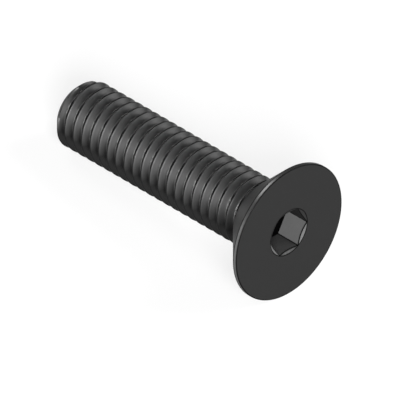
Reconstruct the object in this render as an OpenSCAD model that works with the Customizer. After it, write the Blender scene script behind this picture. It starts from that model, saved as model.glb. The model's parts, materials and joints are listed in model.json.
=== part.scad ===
// Countersunk screw with a hexagon socket, lying on its side as it comes to rest.
// Built upright first: the head's flat face at z = 0, the shank running up to the tip.

/* [Overall] */
// Length from the head's flat face to the tip
screw_len = 20; // [12:0.5:50]
// Nominal outside diameter of the thread
thread_d = 5; // [4:0.25:6.5]

/* [Thread] */
// Distance along the axis from one crest to the next
pitch = 0.8; // [0.6:0.05:1.25]
// Angle between the two flanks of the thread's groove
flank_angle = 60; // [50:1:70]
// Width of the flat on top of each crest, as a share of the pitch
crest_share = 0.125; // [0.08:0.005:0.2]
// Width of the flat at the bottom of the groove, as a share of the pitch
root_share = 0.2; // [0.125:0.005:0.3]
// How far the crest lies below the nominal diameter, measured on the radius
crest_allowance = 0.01; // [0:0.005:0.08]
// Length of the 45 degree chamfer on the tip
tip_chamfer = 0.57; // [0.3:0.01:1]

/* [Head] */
// Diameter of the head
head_d = 10; // [8:0.1:13]
// Included angle of the countersunk cone
head_angle = 90; // [80:1:100]
// Height of the straight rim between the flat face and the cone
rim_h = 0.3; // [0.1:0.05:0.6]
// Chamfer that breaks the edge between the rim and the flat face
rim_break = 0.05; // [0.02:0.01:0.1]

/* [Socket] */
// Width of the hexagon across its flats
socket_af = 3; // [2:0.1:4]
// Depth of the hexagon's straight walls below the flat face
socket_depth = 1.95; // [1.2:0.05:2.6]
// Included angle of the shallow point at the bottom of the socket
floor_angle = 150; // [130:1:170]
// How far the countersink at the mouth reaches past the hexagon's corners
mouth_margin = 0.02; // [0.02:0.01:0.2]
// Included angle of the countersink at the mouth
mouth_angle = 120; // [90:1:130]

/* [Hidden] */
$fn = 96;

// Facets in one turn of the thread
turn_facets = 40;
// How far a solid runs into its neighbour, or a cut runs out past a face
overlap = 0.3;
// Angle round the axis of the line that the lying screw rests on
underside = 180;
// How far round from the underside the crest meets the tip's chamfer
start_turn = 52;

crest_r = thread_d / 2 - crest_allowance;
groove_depth = pitch * (1 - crest_share - root_share) / 2 / tan(flank_angle / 2);
root_r = crest_r - groove_depth;

head_r = head_d / 2;
cone_h = (head_r - thread_d / 2) / tan(head_angle / 2);
head_h = rim_h + cone_h;

// Where the crest's middle meets the tip's chamfer, and where the last whole crest ends on the underside
last_crest = screw_len - tip_chamfer;
last_touch = last_crest - pitch * (start_turn / 360 - crest_share / 2);
tip_r = crest_r - tip_chamfer;

corner_d = socket_af / cos(30);
mouth_d = corner_d + 2 * mouth_margin;
mouth_h = mouth_d / 2 / tan(mouth_angle / 2);
point_h = socket_af / 2 / tan(floor_angle / 2);

// The rim and the last crest touch the ground together at this lean
lean = atan((head_r - crest_r) / (last_touch - rim_h));
rest_h = head_r * cos(lean) + rim_h * sin(lean);
rest_x = (screw_len * cos(lean) + (tip_r - head_r + rim_break) * sin(lean)) / 2;

// Corners of one pitch of the thread: radius, and distance along the axis from the crest's middle
groove_corners = [
    [root_r, -pitch * (1 - root_share) / 2],
    [crest_r, -pitch * crest_share / 2],
    [crest_r, pitch * crest_share / 2],
    [root_r, pitch * (1 - root_share) / 2]
];

// A closed rod with a right-hand thread that covers the stretch from z = low to z = high.
// Each corner of the profile runs up its own helix, and the faces join neighbouring helices.
module threaded_rod(low, high) {
    turns_below = ceil((last_crest - low) / pitch) + 2;
    turns = turns_below + ceil((high - last_crest) / pitch) + 2;
    steps = turns * turn_facets;
    foot = last_crest - turns_below * pitch;
    helices = [
        for (corner = groove_corners) for (i = [0:steps])
            let (angle = underside + start_turn + 360 * i / turn_facets)
            [corner[0] * cos(angle), corner[0] * sin(angle),
             foot + corner[1] + pitch * i / turn_facets]
    ];
    foot_centre = len(helices);
    top_centre = foot_centre + 1;
    centres = [[0, 0, foot], [0, 0, foot + turns * pitch]];

    function at(corner, i) = corner * (steps + 1) + i;

    flanks_and_crest = [
        for (c = [0:2]) for (i = [0:steps - 1]) each [
            [at(c, i), at(c + 1, i), at(c + 1, i + 1)],
            [at(c, i), at(c + 1, i + 1), at(c, i + 1)]
        ]
    ];
    // The groove's bottom joins a crest's upper flank to the next turn's lower flank
    groove_bottom = [
        for (i = [0:steps - turn_facets - 1]) each [
            [at(3, i), at(0, i + turn_facets), at(0, i + turn_facets + 1)],
            [at(3, i), at(0, i + turn_facets + 1), at(3, i + 1)]
        ]
    ];
    foot_cap = concat(
        [for (i = [0:turn_facets - 1]) [foot_centre, at(0, i), at(0, i + 1)]],
        [for (c = [0:2]) [foot_centre, at(c + 1, 0), at(c, 0)]],
        [[foot_centre, at(0, turn_facets), at(3, 0)]]
    );
    top_cap = concat(
        [for (i = [steps - turn_facets:steps - 1]) [top_centre, at(3, i + 1), at(3, i)]],
        [for (c = [0:2]) [top_centre, at(c, steps), at(c + 1, steps)]],
        [[top_centre, at(3, steps - turn_facets), at(0, steps)]]
    );
    polyhedron(
        concat(helices, centres),
        concat(flanks_and_crest, groove_bottom, foot_cap, top_cap)
    );
}

// The threaded rod, cut off inside the head and turned down to the tip's chamfer
module shank() {
    blank_r = crest_r + overlap;
    start = head_h - overlap;
    intersection() {
        threaded_rod(start, screw_len);
        rotate_extrude()
            polygon([
                [0, start], [blank_r, start], [blank_r, last_crest - overlap],
                [tip_r, screw_len], [0, screw_len]
            ]);
    }
}

module head() {
    rotate_extrude()
        polygon([
            [0, 0], [head_r - rim_break, 0], [head_r, rim_break], [head_r, rim_h],
            [thread_d / 2, head_h], [0, head_h]
        ]);
}

// What is cut out of the head: the hexagon, its pointed floor and the countersunk mouth
module socket() {
    sink = 0.01;
    translate([0, 0, -overlap])
        rotate(30)
            cylinder(d = corner_d, h = socket_depth + overlap, $fn = 6);
    translate([0, 0, socket_depth - sink])
        cylinder(r1 = socket_af / 2 - sink, r2 = 0, h = point_h);
    translate([0, 0, -sink])
        cylinder(r1 = mouth_d / 2 + sink * tan(mouth_angle / 2), r2 = 0, h = mouth_h + sink);
}

// Turns the upright screw over on its side, the head's face towards +X
module lay_down() {
    translate([rest_x, 0, rest_h])
        rotate([0, -90 - lean, 0])
            children();
}

module screw() {
    color([0.25, 0.25, 0.26])
        lay_down()
            difference() {
                union() {
                    head();
                    shank();
                }
                socket();
            }
}

screw();
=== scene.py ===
import json
import math

import bpy
import numpy as np
from mathutils import Matrix, Vector


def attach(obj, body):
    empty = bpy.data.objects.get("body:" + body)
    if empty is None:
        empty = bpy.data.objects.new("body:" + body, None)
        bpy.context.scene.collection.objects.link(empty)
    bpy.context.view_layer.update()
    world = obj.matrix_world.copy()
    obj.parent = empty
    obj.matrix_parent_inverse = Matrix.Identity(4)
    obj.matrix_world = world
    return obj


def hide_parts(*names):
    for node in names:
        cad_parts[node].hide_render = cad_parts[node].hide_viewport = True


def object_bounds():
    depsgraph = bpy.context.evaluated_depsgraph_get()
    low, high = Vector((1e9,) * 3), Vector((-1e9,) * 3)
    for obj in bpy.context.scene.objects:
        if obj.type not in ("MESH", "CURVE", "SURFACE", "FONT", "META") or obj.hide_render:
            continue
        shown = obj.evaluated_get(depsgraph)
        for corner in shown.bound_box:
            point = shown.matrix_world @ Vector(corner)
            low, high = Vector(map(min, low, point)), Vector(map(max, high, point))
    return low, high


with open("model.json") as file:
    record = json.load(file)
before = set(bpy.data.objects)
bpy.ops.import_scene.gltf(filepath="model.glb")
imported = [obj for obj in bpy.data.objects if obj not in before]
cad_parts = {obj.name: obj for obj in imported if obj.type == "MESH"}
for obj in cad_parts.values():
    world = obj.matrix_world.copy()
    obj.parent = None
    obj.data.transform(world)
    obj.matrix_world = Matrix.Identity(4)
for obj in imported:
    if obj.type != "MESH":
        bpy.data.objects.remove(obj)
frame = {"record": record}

cadLow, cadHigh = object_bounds()
mounts = {m["name"]: m for m in frame["record"]["mounts"]}
mm = 0.001
print("frame loaded, box", [round(v / mm, 3) for v in (*cadLow, *cadHigh)])


# The screw, upright while it is worked out: flat face at z = 0, tip up
faceCentre = np.array(mounts["hex_socket"]["pos_m"])
tipCentre = np.array(mounts["thread"]["pos_m"])
outOfHead = np.array(mounts["hex_socket"]["axis"])
across = np.array([0.0, 1.0, 0.0])
uprightAxes = np.array([np.cross(across, -outOfHead), across, -outOfHead])

screw = {
    "columns": 144,                 # steps round the axis, a multiple of 12
    "length": float(np.linalg.norm(tipCentre - faceCentre)),
    "headRadius": mounts["seat_cone"]["dims"]["r_mm"] * mm,
    "coneHeight": mounts["seat_cone"]["dims"]["length_mm"] * mm,
    "rimHeight": 0.3 * mm,
    "rimRound": 0.05 * mm,
    "coneFootRadius": 2.5 * mm,
    "crestRadius": mounts["thread"]["dims"]["r_mm"] * mm,
    "pitch": 0.8 * mm,
    "crestWidth": 0.1 * mm,
    "rootWidth": 0.16 * mm,
    "flankLean": 30.0,              # degrees off the plane across the axis
    "crestRound": 0.014 * mm,
    "rootRound": 0.03 * mm,
    "tipChamfer": 0.57 * mm,
    "lastCrestAt": 232.0,           # degrees round the axis, where the crest meets the chamfer
    "acrossFlats": 3.0 * mm,
    "socketDepth": mounts["hex_socket"]["dims"]["length_mm"] * mm,
    "pointAngle": 150.0,
    "mouthMargin": 0.02 * mm,
    "mouthAngle": 120.0,
    # Painted light in the socket: how much each wall's grey is lifted, as the lamps fall on it
    "wallPaintedLight": [0.3, 0.0, 1.0, 0.15, 0.4, 0.5],          # how light each wall of the socket is
    # Painted glints on the mouth's chamfer: how much of the lighter rubbed grey the chamfer above each wall
    # shows
    "mouthPaintedGlint": [0.26, 0.13, 1.0, 0.45, 0.78, 0.26],     # the same for the chamfer above each wall
    "footFrom": 0.9,                # share of the groove's depth where a flank's foot begins
    # The tip's chamfer takes part of the flanks' painted light
    "tipPaintedLift": 0.18,                # how far the turned tip goes from the film's grey to the flanks'
    "wearReach": 0.09 * mm,         # how far from an edge the finish is rubbed
    "lineReach": 0.1 * mm,          # how far the dark line along a border reaches
    "sharpFrom": 32.0,              # degrees between two faces that show as an edge
}
surfaces = ["socket", "head", "thread"]    # each has its own material
fields = ["hollow", "edge", "flank"]       # 0 to 1 at every point, for the materials to read


# Upright coordinates to the frame: each point is a sum of the three upright axes, from the face's middle
def layDown(points):
    return faceCentre + points @ uprightAxes


# Arc of the given radius that touches both lines through the corner:
# the centre plus the radius times cosine and sine
def roundedCorner(before, corner, after, radius, steps):
    into = (corner - before) / np.linalg.norm(corner - before)
    out = (after - corner) / np.linalg.norm(after - corner)
    turn = math.acos(np.clip(into @ out, -1, 1))
    setback = radius * math.tan(turn / 2)
    side = np.sign(into[0] * out[1] - into[1] * out[0])
    normal = side * np.array([-into[1], into[0]])
    centre = corner - into * setback + normal * radius
    angle = np.linspace(0, turn, steps + 1)[:, None]
    return centre - normal * radius * np.cos(angle) + into * radius * np.sin(angle)


# 1 on an edge, falling in a straight line to 0 at the reach
def nearness(distance, reach=screw["wearReach"]):
    return np.clip(1 - distance / reach, 0, 1)


# One row of the surface: z, radius and the three fields, each a number or one value for every column
def ring(z, radius, hollow=0.0, edge=0.0, flank=0.0):
    wide = np.zeros(screw["columns"])
    return np.stack([wide + value for value in (z, radius, hollow, edge, flank)])


# One pitch as (distance along the axis, radius), from the middle of one groove to the next:
# straight flanks, a flat crest and a flat groove bottom, with an arc at each corner
def threadProfile():
    s = screw
    half = s["pitch"] / 2
    flank = (s["pitch"] - s["crestWidth"] - s["rootWidth"]) / 2
    rootRadius = s["crestRadius"] - flank / math.tan(math.radians(s["flankLean"]))
    corners = np.array([
        [-half, rootRadius],
        [-half + s["rootWidth"] / 2, rootRadius],
        [-s["crestWidth"] / 2, s["crestRadius"]],
        [s["crestWidth"] / 2, s["crestRadius"]],
        [half - s["rootWidth"] / 2, rootRadius],
        [half, rootRadius],
    ])
    radii = [s["rootRound"], s["crestRound"], s["crestRound"], s["rootRound"]]
    arcs = [roundedCorner(corners[i], corners[i + 1], corners[i + 2], radii[i], 3) for i in range(4)]
    share = np.linspace(0, 1, 6)[1:-1, None]
    risingFlank = arcs[0][-1] + (arcs[1][0] - arcs[0][-1]) * share
    fallingFlank = arcs[2][-1] + (arcs[3][0] - arcs[2][-1]) * share
    crestMiddle = [[0, s["crestRadius"]]]
    rising = [corners[:1], arcs[0], risingFlank, arcs[1]]
    falling = [arcs[2], fallingFlank, arcs[3]]
    return np.vstack([*rising, crestMiddle, *falling])


# Hollow: share of the groove's depth, held back at the foot of the flank that faces the head, so that
# the painted shade of the root lies in the other corner. Edge: 1 along the crest's middle, 0 at its
# corners.
# Flank: steepness, less near the crest, growing with depth and 1 at that foot: painted light, lifting the
# grey where the next crest keeps the lamps off
def profileFields(profile):
    s = screw
    along, radius = profile.T
    depth = s["crestRadius"] - radius
    hollow = depth / depth.max()
    edge = nearness(np.abs(along), s["crestWidth"] / 2)
    slope = np.abs(np.gradient(radius, along))
    flank = np.clip(slope * math.tan(math.radians(s["flankLean"])), 0, 1) * (0.55 + 0.45 * hollow ** 3)
    foot = (hollow > s["footFrom"]) & (along < 0) & (along > along.min())
    return np.where(foot, s["footFrom"], hollow), edge, np.where(foot, 1, flank)


# Rows that follow the helix: z is the row's own place plus the pitch times the share of a turn.
# z is held between start and end, and the radius is the smaller of the profile there and the tip's cone
def threadRows(start, end):
    s = screw
    profile = threadProfile()
    lastCrest = s["length"] - s["tipChamfer"]
    angle = np.arange(s["columns"]) * 360 / s["columns"]
    climb = s["pitch"] * (angle - s["lastCrestAt"]) / 360
    turnsBelow = math.ceil((lastCrest - start) / s["pitch"]) + 2
    turnsAbove = math.ceil(s["tipChamfer"] / s["pitch"]) + 1
    turns = np.arange(-turnsBelow, turnsAbove + 1)
    places = (lastCrest + turns[:, None] * s["pitch"] + profile[:, 0]).ravel()
    z = np.clip(places[:, None] + climb, start, end)

    inPitch = (z - climb - lastCrest + s["pitch"] / 2) % s["pitch"] - s["pitch"] / 2
    knots = np.append(profile[:, 0], profile[0, 0] + s["pitch"])
    carried = (profile[:, 1], *profileFields(profile))
    radius, hollow, edge, flank = [np.interp(inPitch, knots, np.append(v, v[0])) for v in carried]

    tipCone = s["crestRadius"] - s["tipChamfer"] + (s["length"] - z)
    cut = radius > tipCone
    chamferEdge = nearness(np.minimum(np.abs(radius - tipCone), s["length"] - z))
    hollow = np.where(cut, 0, hollow)
    edge = np.where(cut, chamferEdge, edge)
    flank = np.where(cut, s["tipPaintedLift"], flank)
    rows = np.stack([z, np.minimum(radius, tipCone), hollow, edge, flank], axis=1)
    return rows, len(profile)


# From the middle of the socket's pointed floor, up its six walls and out over the countersunk mouth
def socketRows():
    s = screw
    angle = np.radians(np.arange(s["columns"]) * 360 / s["columns"])
    sixth = math.pi / 3
    # From the axis to the hexagon: half the flats over the cosine of the angle from the nearest flat
    hexagon = s["acrossFlats"] / 2 / np.cos((angle + sixth / 2) % sixth - sixth / 2)
    corner = s["acrossFlats"] / 2 / math.cos(sixth / 2)
    inCorner = nearness(corner - hexagon, s["lineReach"] / 2)
    wall = ((angle + sixth / 2) // sixth).astype(int) % 6
    wallLitShare, mouthGlintShare = np.array(s["wallPaintedLight"])[wall], np.array(s["mouthPaintedGlint"])[wall]
    mouthRadius = corner + s["mouthMargin"]
    steep = math.tan(math.radians(s["mouthAngle"] / 2))
    mouthFoot = (mouthRadius - hexagon) / steep
    slant = np.hypot(mouthFoot, mouthRadius - hexagon)
    pointHeight = s["acrossFlats"] / 2 / math.tan(math.radians(s["pointAngle"] / 2))
    pointRadius = s["acrossFlats"] / 2 * 0.985    # keeps the floor's edge clear of the walls
    depth = s["socketDepth"]

    # The floor's rows carry the hollow field at 1: painted shade, near black, over the socket's floor
    rows = [ring(depth + pointHeight * (1 - t), pointRadius * t, hollow=1) for t in np.linspace(0, 1, 9)]
    rows += [ring(depth, hexagon, hollow=1)]
    nearMouth = mouthFoot + s["lineReach"]
    # Walls: thin dark lines near the mouth's foot and in the corners, and each wall's painted light in the
    # flank field
    for t in (0.03, 0.06, 0.2, 0.4, 0.6, 0.8, 1):
        border = np.maximum(nearness((depth - nearMouth) * t, s["lineReach"]), inCorner)
        rows += [ring(depth + (nearMouth - depth) * t, hexagon, hollow=border, flank=wallLitShare)]
    # Chamfer: dark lines along both borders, and painted glints between them in the edge field, brighter
    # above some walls than others
    for t in np.linspace(0, 1, 9):
        border = nearness(np.minimum(slant * t, slant * (1 - t)), s["lineReach"])
        radius = hexagon + (mouthRadius - hexagon) * t
        rows += [ring(mouthFoot * (1 - t), radius, hollow=border, edge=(1 - border) * mouthGlintShare)]
    return np.array(rows), mouthRadius


# From the mouth over the flat face, round the rim and down the cone,
# as points of (z, radius) turned about the axis
def headRows(mouthRadius):
    s = screw
    rim, foot, reach = s["headRadius"], s["coneFootRadius"], s["lineReach"]
    coneFoot = s["rimHeight"] + s["coneHeight"]
    corners = np.array([[0, mouthRadius], [0, rim], [s["rimHeight"], rim], [coneFoot, foot]])
    upperArc = roundedCorner(corners[0], corners[1], corners[2], s["rimRound"], 5)
    lowerArc = roundedCorner(corners[1], corners[2], corners[3], s["rimRound"] / 2, 3)
    faceRadii = [mouthRadius + reach, *np.linspace(mouthRadius + reach, rim - s["rimRound"] - reach, 8)[1:]]
    face = [(0, r) for r in faceRadii]
    side = [upperArc[-1] + (lowerArc[0] - upperArc[-1]) * t for t in np.linspace(0, 1, 8)[1:-1]]
    downCone = (corners[3] - lowerArc[-1]) / np.linalg.norm(corners[3] - lowerArc[-1])
    coneTop = lowerArc[-1] + downCone * reach
    cone = [coneTop + (corners[3] - coneTop) * t for t in np.linspace(0, 1, 11)]
    outline = np.vstack([face, upperArc, side, lowerArc, cone])
    # Hollow here: thin dark lines along the rim's borders, and painted shade in the crease at the cone's
    # foot
    toBorders = np.min([np.hypot(*(outline - border).T) for border in (*upperArc[:3], *lowerArc)], axis=0)
    hollow = nearness(np.minimum(toBorders, np.hypot(*(outline - corners[3]).T)), s["lineReach"])
    onRim = (outline[:, 1] > rim - s["lineReach"]) & (outline[:, 0] < s["rimHeight"])
    edge = np.where(onRim, 1 - hollow, 0)
    # The cone carries the flank field at 1, so its grey is lifted: painted light that makes it lighter than
    # the face
    onCone = outline[:, 0] > s["rimHeight"]
    return np.array([ring(z, r, hollow=h, edge=e, flank=c)
                     for (z, r), h, e, c in zip(outline, hollow, edge, onCone)])


# The small flat on the tip, from its edge to its middle
def tipRows():
    s = screw
    flat = s["crestRadius"] - s["tipChamfer"]
    radii = [flat - s["wearReach"], *np.linspace(flat - s["wearReach"], 0, 5)[1:]]
    return np.array([ring(s["length"], r) for r in radii])


# Joins points that coincide, drops corners that a face then has twice, and faces with under three left
def weldedMesh(name, points, values, faces, slots):
    keys = np.round(points / 1e-9).astype(np.int64)
    _, first, joined = np.unique(keys, axis=0, return_index=True, return_inverse=True)
    faces = joined.reshape(-1)[faces]
    doubled = faces == np.roll(faces, -1, axis=1)
    whole, single = ~doubled.any(axis=1), doubled.sum(axis=1) == 1
    quads = faces[whole]
    triangles = faces[single][~doubled[single]].reshape(-1, 3)
    mesh = bpy.data.meshes.new(name)
    mesh.from_pydata(points[first].tolist(), [], quads.tolist() + triangles.tolist())
    mesh.polygons.foreach_set("material_index", np.concatenate([slots[whole], slots[single]]))
    for fieldName, value in zip(fields, values):
        attribute = mesh.attributes.new(fieldName, "FLOAT", "POINT")
        attribute.data.foreach_set("value", value[first].astype(np.float32))
    return mesh


# One closed surface: rows from the socket's floor over the head and down the thread to the tip.
# At the last column a thread row meets the row one pitch further on
def makeScrew():
    s = screw
    socket, mouthRadius = socketRows()
    head = headRows(mouthRadius)
    thread, perPitch = threadRows(s["rimHeight"] + s["coneHeight"], s["length"])
    rows = np.concatenate([socket, head, thread, tipRows()])
    z, radius, *values = rows.transpose(1, 0, 2)
    angle = np.radians(np.arange(s["columns"]) * 360 / s["columns"])
    upright = np.stack([radius * np.cos(angle), radius * np.sin(angle), z], axis=-1)

    index = np.arange(z.size).reshape(z.shape)
    firstThread = len(socket) + len(head)
    lastThread = firstThread + len(thread) - 1
    afterTurn = np.arange(len(z))
    afterTurn[firstThread:lastThread + 1] += perPitch
    afterTurn[firstThread:lastThread + 1] = np.minimum(afterTurn[firstThread:lastThread + 1], lastThread)
    beside = np.roll(index, -1, axis=1)
    beside[:, -1] = index[afterTurn, 0]
    faces = np.stack([index[:-1], beside[:-1], beside[1:], index[1:]], axis=-1).reshape(-1, 4)

    rowSurface = np.searchsorted([len(socket), firstThread], np.arange(1, len(z)), side="right")
    rowSurface[lastThread:] = surfaces.index("head")
    slots = np.repeat(rowSurface, s["columns"])
    flatValues = [v.ravel() for v in values]
    mesh = weldedMesh("screwSurface", layDown(upright.reshape(-1, 3)), flatValues, faces, slots)
    mesh.shade_smooth()
    mesh.set_sharp_from_angle(angle=math.radians(s["sharpFrom"]))
    piece = bpy.data.objects.new("screwVisible", mesh)
    bpy.context.scene.collection.objects.link(piece)
    return piece


screwPiece = makeScrew()
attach(screwPiece, "root")
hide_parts("screw")
triangles = sum(len(p.vertices) - 2 for p in screwPiece.data.polygons)
print("screw made,", len(screwPiece.data.vertices), "points,", triangles, "triangles")


# Node helpers: a node with its settings and unlinked values, a link, and a group with named sockets
def addNode(tree, kind, values=None, **settings):
    node = tree.nodes.new(kind)
    for name, value in settings.items():
        setattr(node, name, value)
    for name, value in (values or {}).items():
        node.inputs[name].default_value = value
    return node


def join(tree, output, node, socket):
    tree.links.new(output, node.inputs[socket])


def maths(tree, operation, first, second=0.0, clamp=False):
    node = addNode(tree, "ShaderNodeMath", operation=operation, use_clamp=clamp)
    for socket, value in enumerate((first, second)):
        if isinstance(value, (int, float)):
            node.inputs[socket].default_value = value
        else:
            tree.links.new(value, node.inputs[socket])
    return node.outputs["Value"]


def newGroup(name, inputs, outputs):
    tree = bpy.data.node_groups.new(name, "ShaderNodeTree")
    for socket, value in inputs.items():
        kind = "NodeSocketVector" if value is None else "NodeSocketFloat"
        made = tree.interface.new_socket(socket, in_out="INPUT", socket_type=kind)
        if value is not None:
            made.default_value = value
    for socket in outputs:
        tree.interface.new_socket(socket, in_out="OUTPUT", socket_type="NodeSocketFloat")
    return tree, tree.nodes.new("NodeGroupInput"), tree.nodes.new("NodeGroupOutput")


# Blotches and fine grain of the oxide film, both around a half; sizes in millimetres
def oxideGroup():
    inputs = {"Place": None, "Blotch Size": 0.8, "Grain Size": 0.09}
    tree, given, made = newGroup("oxide", inputs, ["Blotch", "Grain"])
    for name, detail in (("Blotch", 3.0), ("Grain", 2.0)):
        scale = maths(tree, "DIVIDE", 1.0, given.outputs[name + " Size"])
        noise = addNode(tree, "ShaderNodeTexNoise", {"Detail": detail, "Roughness": 0.55})
        join(tree, given.outputs["Place"], noise, "Vector")
        join(tree, scale, noise, "Scale")
        join(tree, noise.outputs["Fac"], made, name)
    return tree


# Fine rings left by turning and rolling: noise that runs along the way (radius plus a share of z) and
# hardly changes round the axis, because it is read at the unit direction from the axis
def ringsGroup():
    inputs = {"Place": None, "Per Millimetre": 8.0, "Share Of Height": 1.0, "Drift": 1.2}
    tree, given, made = newGroup("rings", inputs, ["Rings"])
    parts = addNode(tree, "ShaderNodeSeparateXYZ")
    join(tree, given.outputs["Place"], parts, "Vector")
    level = addNode(tree, "ShaderNodeCombineXYZ")
    join(tree, parts.outputs["X"], level, "X")
    join(tree, parts.outputs["Y"], level, "Y")
    radius = addNode(tree, "ShaderNodeVectorMath", operation="LENGTH")
    join(tree, level.outputs["Vector"], radius, 0)
    unit = addNode(tree, "ShaderNodeVectorMath", operation="NORMALIZE")
    join(tree, level.outputs["Vector"], unit, 0)
    drift = addNode(tree, "ShaderNodeVectorMath", operation="SCALE")
    join(tree, unit.outputs["Vector"], drift, 0)
    join(tree, given.outputs["Drift"], drift, "Scale")
    turned = addNode(tree, "ShaderNodeSeparateXYZ")
    join(tree, drift.outputs["Vector"], turned, "Vector")
    height = maths(tree, "MULTIPLY", parts.outputs["Z"], given.outputs["Share Of Height"])
    along = maths(tree, "ADD", radius.outputs["Value"], height)
    spread = maths(tree, "MULTIPLY", along, given.outputs["Per Millimetre"])
    place = addNode(tree, "ShaderNodeCombineXYZ")
    join(tree, turned.outputs["X"], place, "X")
    join(tree, turned.outputs["Y"], place, "Y")
    join(tree, spread, place, "Z")
    noise = addNode(tree, "ShaderNodeTexNoise", {"Scale": 1.0, "Detail": 2.0, "Roughness": 0.6})
    join(tree, place.outputs["Vector"], noise, "Vector")
    join(tree, noise.outputs["Fac"], made, "Rings")
    return tree


# Where handling has rubbed the film, and painted glints: the edge field, made ragged by noise,
# from nothing at Start to all at Full; wear on the thread's crests and the rim, painted glints on the
# socket's mouth
def wearAndGlintGroup():
    inputs = {"Place": None, "Start": 0.45, "Full": 1.0, "Ragged": 0.5, "Patch Size": 0.35}
    tree, given, made = newGroup("wearAndGlint", inputs, ["Mask"])
    edge = addNode(tree, "ShaderNodeAttribute", attribute_name="edge")
    noise = addNode(tree, "ShaderNodeTexNoise", {"Detail": 3.0, "Roughness": 0.6})
    join(tree, given.outputs["Place"], noise, "Vector")
    join(tree, maths(tree, "DIVIDE", 1.0, given.outputs["Patch Size"]), noise, "Scale")
    centred = maths(tree, "SUBTRACT", noise.outputs["Fac"], 0.5)
    off = maths(tree, "MULTIPLY", centred, given.outputs["Ragged"])
    mask = addNode(tree, "ShaderNodeMapRange", interpolation_type="SMOOTHSTEP")
    join(tree, maths(tree, "ADD", edge.outputs["Fac"], off), mask, "Value")
    join(tree, given.outputs["Start"], mask, "From Min")
    join(tree, given.outputs["Full"], mask, "From Max")
    join(tree, mask.outputs["Result"], made, "Mask")
    return tree


# Painted shade and dark lines: where the hollow field is high (the socket's floor and corners, the thread's
# roots, the rim's borders and the cone's foot) the grey goes dark, further where the blotches are
def shadeAndLinesGroup():
    inputs = {"Blotch": 0.5, "Start": 0.4, "Full": 1.0, "Uneven": 0.15}
    tree, given, made = newGroup("shadeAndLines", inputs, ["Mask"])
    hollow = addNode(tree, "ShaderNodeAttribute", attribute_name="hollow")
    centred = maths(tree, "SUBTRACT", given.outputs["Blotch"], 0.5)
    off = maths(tree, "MULTIPLY", centred, given.outputs["Uneven"])
    mask = addNode(tree, "ShaderNodeMapRange", interpolation_type="SMOOTHSTEP")
    join(tree, maths(tree, "ADD", hollow.outputs["Fac"], off), mask, "Value")
    join(tree, given.outputs["Start"], mask, "From Min")
    join(tree, given.outputs["Full"], mask, "From Max")
    join(tree, mask.outputs["Result"], made, "Mask")
    return tree


effects = {name: make() for name, make in (
    ("oxide", oxideGroup), ("rings", ringsGroup), ("wearAndGlint", wearAndGlintGroup), ("shadeAndLines", shadeAndLinesGroup))}

finishes = {
    "socket": {
        "slantStart": 0.5, "slantFull": 1.0, "slantDim": 0.7, "sideStart": 1.0, "sideFull": 2.0,
        "metallic": 0.0, "edgeTint": 0.5, "specular": 0.02,
        "film": (0.018, 0.025), "wearAndGlint": 0.098, "shadeAndLines": 0.0008, "paintedLift": 3.8,
        "roughness": (0.52, 0.66), "wearAndGlintRoughness": 0.42,
        "blotchSize": 0.7, "grainSize": 0.08, "ringsPerMm": 6.0, "heightShare": 1.0,
        "ringWeight": 0.15, "grainWeight": 0.35, "bumpHeight": 0.0022,
        "wearAndGlintStart": 0.1, "wearAndGlintFull": 0.9, "shadeAndLinesStart": 0.3, "shadeAndLinesFull": 0.9,
    },
    "head": {
        "slantStart": 0.5, "slantFull": 1.0, "slantDim": 0.7, "sideStart": 1.0, "sideFull": 2.0,
        "metallic": 1.0, "edgeTint": 0.45, "specular": 0.5,
        "film": (0.040, 0.047), "wearAndGlint": 0.16, "shadeAndLines": 0.010, "paintedLift": 3.1,
        "roughness": (0.44, 0.54), "wearAndGlintRoughness": 0.36,
        "blotchSize": 0.9, "grainSize": 0.08, "ringsPerMm": 9.0, "heightShare": 1.0,
        "ringWeight": 0.4, "grainWeight": 0.25, "bumpHeight": 0.0014,
        "wearAndGlintStart": 0.2, "wearAndGlintFull": 0.9, "shadeAndLinesStart": 0.5, "shadeAndLinesFull": 1.0,
    },
    "thread": {
        "slantStart": 0.08, "slantFull": 0.22, "slantDim": 0.24, "sideStart": 0.46, "sideFull": 0.58,
        "metallic": 1.0, "edgeTint": 0.45, "specular": 0.5,
        "film": (0.0265, 0.0315), "wearAndGlint": 0.038, "shadeAndLines": 0.018, "paintedLift": 7.5,
        "roughness": (0.34, 0.42), "wearAndGlintRoughness": 0.36,
        "blotchSize": 0.8, "grainSize": 0.08, "ringsPerMm": 12.0, "heightShare": 0.0,
        "ringWeight": 0.4, "grainWeight": 0.25, "bumpHeight": 0.0014,
        "wearAndGlintStart": 0.2, "wearAndGlintFull": 0.9, "shadeAndLinesStart": 0.97, "shadeAndLinesFull": 1.0,
    },
}


# A grey that goes from the first to the second as the factor goes from 0 to 1
def blendGrey(tree, factor, first, second):
    node = addNode(tree, "ShaderNodeMix", data_type="FLOAT")
    join(tree, factor, node, "Factor")
    for socket, value in (("A", first), ("B", second)):
        if isinstance(value, (int, float)):
            node.inputs[socket].default_value = value
        else:
            join(tree, value, node, socket)
    return node.outputs["Result"]
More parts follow.
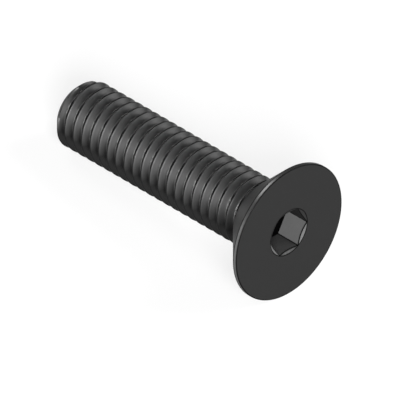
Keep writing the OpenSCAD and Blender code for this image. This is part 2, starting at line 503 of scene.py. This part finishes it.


# Dark oxide over steel: blotchy film, fine rings and grain, a painted lift of the grey on flanks, walls and
# cone, painted shade by view, edges rubbed to lighter and smoother steel with painted glints on the mouth,
# and painted shade and dark lines in the hollows
def oxideSteel(name):
    f = finishes[name]
    material = bpy.data.materials.new(name + "Steel")
    material.use_nodes = True
    tree = material.node_tree
    shader = tree.nodes["Principled BSDF"]
    shader.inputs["Metallic"].default_value = f["metallic"]
    shader.inputs["Specular IOR Level"].default_value = f["specular"]
    shader.inputs["Specular Tint"].default_value = (f["edgeTint"],) * 3 + (1,)

    # Object coordinates to upright millimetres, from the middle of the flat face
    coordinates = addNode(tree, "ShaderNodeTexCoord")
    turn = Matrix([list(row) for row in uprightAxes]).transposed().to_euler()
    place = addNode(tree, "ShaderNodeMapping", vector_type="TEXTURE", values={
        "Location": tuple(faceCentre), "Rotation": turn, "Scale": (mm, mm, mm)})
    join(tree, coordinates.outputs["Object"], place, "Vector")
    at = place.outputs["Vector"]

    def effect(kind, values):
        node = addNode(tree, "ShaderNodeGroup", node_tree=effects[kind])
        for socket, value in values.items():
            if isinstance(value, (int, float)):
                node.inputs[socket].default_value = value
            else:
                join(tree, value, node, socket)
        return node

    oxide = effect("oxide", {"Place": at, "Blotch Size": f["blotchSize"], "Grain Size": f["grainSize"]})
    rings = effect("rings", {"Place": at, "Per Millimetre": f["ringsPerMm"],
                             "Share Of Height": f["heightShare"]})
    wearAndGlint = effect("wearAndGlint", {"Place": at, "Start": f["wearAndGlintStart"], "Full": f["wearAndGlintFull"]})
    shadeAndLines = effect("shadeAndLines", {"Blotch": oxide.outputs["Blotch"], "Start": f["shadeAndLinesStart"],
                                 "Full": f["shadeAndLinesFull"]})

    ringed = maths(tree, "MULTIPLY", rings.outputs["Rings"], f["ringWeight"])
    grainy = maths(tree, "MULTIPLY", oxide.outputs["Grain"], f["grainWeight"])
    blotchy = maths(tree, "MULTIPLY", oxide.outputs["Blotch"], 1 - f["ringWeight"] - f["grainWeight"])
    texture = maths(tree, "ADD", maths(tree, "ADD", ringed, grainy), blotchy)

    # Painted light: the flank field lifts the grey, most at the foot of the thread's flanks where the next
    # crest keeps the lamps off, and on the socket's walls and the head's cone
    flank = addNode(tree, "ShaderNodeAttribute", attribute_name="flank")
    film = blendGrey(tree, texture, *f["film"])
    lift = blendGrey(tree, flank.outputs["Fac"], 1.0, f["paintedLift"])
    # Painted shade by view: the grey dims as the surface turns from the camera, and on the thread comes
    # back to full as it turns further, toward a side view
    slant = addNode(tree, "ShaderNodeLayerWeight", {"Blend": 0.5})
    dim = addNode(tree, "ShaderNodeMapRange", {
        "From Min": f["slantStart"], "From Max": f["slantFull"], "To Min": 1.0, "To Max": f["slantDim"]})
    join(tree, slant.outputs["Facing"], dim, "Value")
    again = addNode(tree, "ShaderNodeMapRange", {
        "From Min": f["sideStart"], "From Max": f["sideFull"], "To Min": 0.0, "To Max": 1.0})
    join(tree, slant.outputs["Facing"], again, "Value")
    paintedViewShade = maths(tree, "MAXIMUM", dim.outputs["Result"], again.outputs["Result"])
    filmWithPaintedLightAndShade = maths(tree, "MULTIPLY", maths(tree, "MULTIPLY", film, lift), paintedViewShade)
    wornAndGlinting = blendGrey(tree, wearAndGlint.outputs["Mask"], filmWithPaintedLightAndShade, f["wearAndGlint"])
    # Painted shade and dark lines, from the hollow field
    shadedGrey = blendGrey(tree, shadeAndLines.outputs["Mask"], wornAndGlinting, f["shadeAndLines"])
    grey = addNode(tree, "ShaderNodeCombineColor")
    for channel in ("Red", "Green", "Blue"):
        join(tree, shadedGrey, grey, channel)
    join(tree, grey.outputs["Color"], shader, "Base Color")

    filmRoughness = blendGrey(tree, texture, *f["roughness"])
    roughness = blendGrey(tree, wearAndGlint.outputs["Mask"], filmRoughness, f["wearAndGlintRoughness"])
    join(tree, roughness, shader, "Roughness")
    bump = addNode(tree, "ShaderNodeBump", {"Strength": 1.0, "Distance": f["bumpHeight"] * mm})
    join(tree, maths(tree, "ADD", ringed, grainy), bump, "Height")
    join(tree, bump.outputs["Normal"], shader, "Normal")
    return material


for surface in surfaces:
    screwPiece.data.materials.append(oxideSteel(surface))
print("materials made")


# Stage: floor, lights and camera
stage = {
    "floorSize": 6.0,
    "floorColour": (0.2, 0.2, 0.2, 1),
    "floorGlow": 0.72,        # seen by the camera and in reflections only, so that the floor shows white
    "worldLevel": 0.15,
}

# Each soft box: the way to it from the screw (degrees round from +X, degrees up), distance, width
# and height, and its light on a surface that faces it, where 1 alone would show a colour as it is
softBoxes = {
    "key": dict(round=319, up=28, far=0.5, wide=0.21, high=0.21, light=2.2),
    "back": dict(round=58, up=13, far=0.5, wide=0.21, high=0.21, light=0.45),
    "above": dict(round=54, up=42, far=0.5, wide=0.21, high=0.21, light=0.62),
    "tipSide": dict(round=185, up=50, far=0.5, wide=0.21, high=0.21, light=0.22),
    "lowTip": dict(round=205, up=6, far=0.5, wide=0.21, high=0.21, light=0.1),
    "lowSide": dict(round=235, up=6, far=0.5, wide=0.21, high=0.21, light=0.08),
}

camera = {
    "azimuth": 45.0,
    "elevation": math.degrees(math.asin(1 / math.sqrt(3))),
    "pixelsPerMm": 14.973,
    "frame": 400,
    "facePixel": (289.0, 232.4),  # where the middle of the head's face shows
    "far": 0.3,
}


def makeFloor():
    half = stage["floorSize"] / 2
    mesh = bpy.data.meshes.new("floor")
    corners = [(-half, -half, 0), (half, -half, 0), (half, half, 0), (-half, half, 0)]
    mesh.from_pydata(corners, [], [(0, 1, 2, 3)])
    floor = bpy.data.objects.new("floor", mesh)
    bpy.context.scene.collection.objects.link(floor)
    paper = bpy.data.materials.new("paleFloor")
    paper.use_nodes = True
    tree = paper.node_tree
    shader = tree.nodes["Principled BSDF"]
    shader.inputs["Base Color"].default_value = stage["floorColour"]
    shader.inputs["Roughness"].default_value = 0.9
    shader.inputs["Specular IOR Level"].default_value = 0.0
    shader.inputs["Emission Strength"].default_value = 1.0
    path = addNode(tree, "ShaderNodeLightPath")
    glossy = maths(tree, "ADD", path.outputs["Is Camera Ray"], path.outputs["Is Glossy Ray"])
    seen = maths(tree, "ADD", glossy, path.outputs["Is Transmission Ray"], clamp=True)
    glow = maths(tree, "MULTIPLY", seen, stage["floorGlow"])
    grey = addNode(tree, "ShaderNodeCombineColor")
    for channel in ("Red", "Green", "Blue"):
        join(tree, glow, grey, channel)
    join(tree, grey.outputs["Color"], shader, "Emission Color")
    mesh.materials.append(paper)


def makeLights():
    world = bpy.data.worlds.new("studio")
    bpy.context.scene.world = world
    world.use_nodes = True
    level = stage["worldLevel"]
    background = world.node_tree.nodes["Background"]
    background.inputs["Color"].default_value = (level, level, level, 1)
    middle = Vector((0, 0, (cadLow[2] + cadHigh[2]) / 2))
    for name, box in softBoxes.items():
        lamp = bpy.data.lights.new(name, "AREA")
        lamp.shape = "RECTANGLE"
        lamp.size, lamp.size_y = box["wide"], box["high"]
        lamp.energy = box["light"] * (math.pi * box["far"]) ** 2
        around, up = math.radians(box["round"]), math.radians(box["up"])
        way = Vector((math.cos(around) * math.cos(up), math.sin(around) * math.cos(up), math.sin(up)))
        body = bpy.data.objects.new(name, lamp)
        body.location = middle + way * box["far"]
        body.rotation_euler = (-way).to_track_quat("-Z", "Y").to_euler()
        bpy.context.scene.collection.objects.link(body)


# Parallel view, turned round the level screw and then leaned with it,
# so that the screw shows as in the photo
def makeCamera():
    data = bpy.data.cameras.new("camera")
    data.type = "ORTHO"
    pixel = mm / camera["pixelsPerMm"]
    data.ortho_scale = camera["frame"] * pixel
    data.clip_start, data.clip_end = 0.001, 10
    a, e = math.radians(camera["azimuth"]), math.radians(camera["elevation"])
    right = Vector((math.cos(a), math.sin(a), 0))
    back = Vector((math.sin(a) * math.cos(e), -math.cos(a) * math.cos(e), math.sin(e)))
    lean = Matrix.Rotation(-math.asin(outOfHead[2]), 3, "Y")
    right, back = lean @ right, lean @ back
    up = back.cross(right)
    fromMiddle = [(p - camera["frame"] / 2) * pixel for p in camera["facePixel"]]
    aim = Vector(faceCentre) - right * fromMiddle[0] + up * fromMiddle[1]
    body = bpy.data.objects.new("camera", data)
    turn = Matrix((right, up, back)).transposed().to_4x4()
    body.matrix_world = Matrix.Translation(aim + back * camera["far"]) @ turn
    bpy.context.scene.collection.objects.link(body)
    bpy.context.scene.camera = body


makeFloor()
makeLights()
makeCamera()
bpy.context.scene.view_settings.view_transform = "Standard"
print("stage made")
